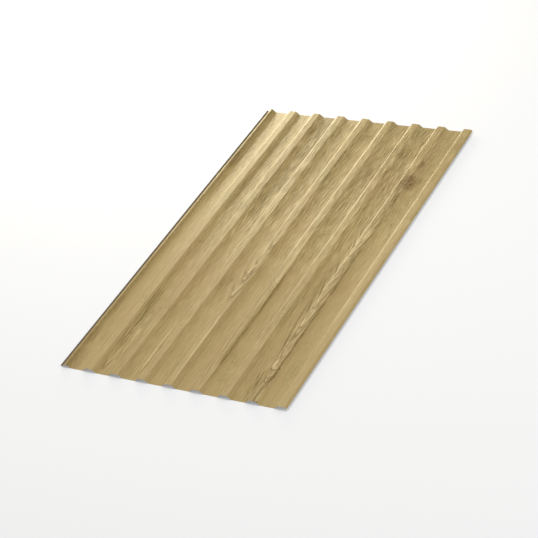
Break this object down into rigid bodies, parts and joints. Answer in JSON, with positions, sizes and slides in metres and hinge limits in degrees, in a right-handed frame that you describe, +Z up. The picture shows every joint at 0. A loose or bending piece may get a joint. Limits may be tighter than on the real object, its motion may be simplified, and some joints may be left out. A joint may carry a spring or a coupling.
{
  "type": "corrugated metal sheet",
  "caption": "Roll-formed corrugated steel sheet with trapezoid ribs, a wood-grain printed coat, an overlap edge and a drain-groove underlap edge, for roofs, walls and fences.",
  "frame": {"origin": "centre of the sheet's outline, on the plane that its valleys rest on", "axes": "+Y along the ribs, +X across them from the underlap edge with the drain groove to the overlap edge, +Z up out of the printed face"},
  "size_m": [1.14, 2, 0.018],
  "materials": {
    "wood_print_coat": "satin light-oak printed coat on the upper face, grey back coat below"
  },
  "bodies": {
    "root": {"profiled_sheet": "wood_print_coat"}
  },
  "joints": []
}
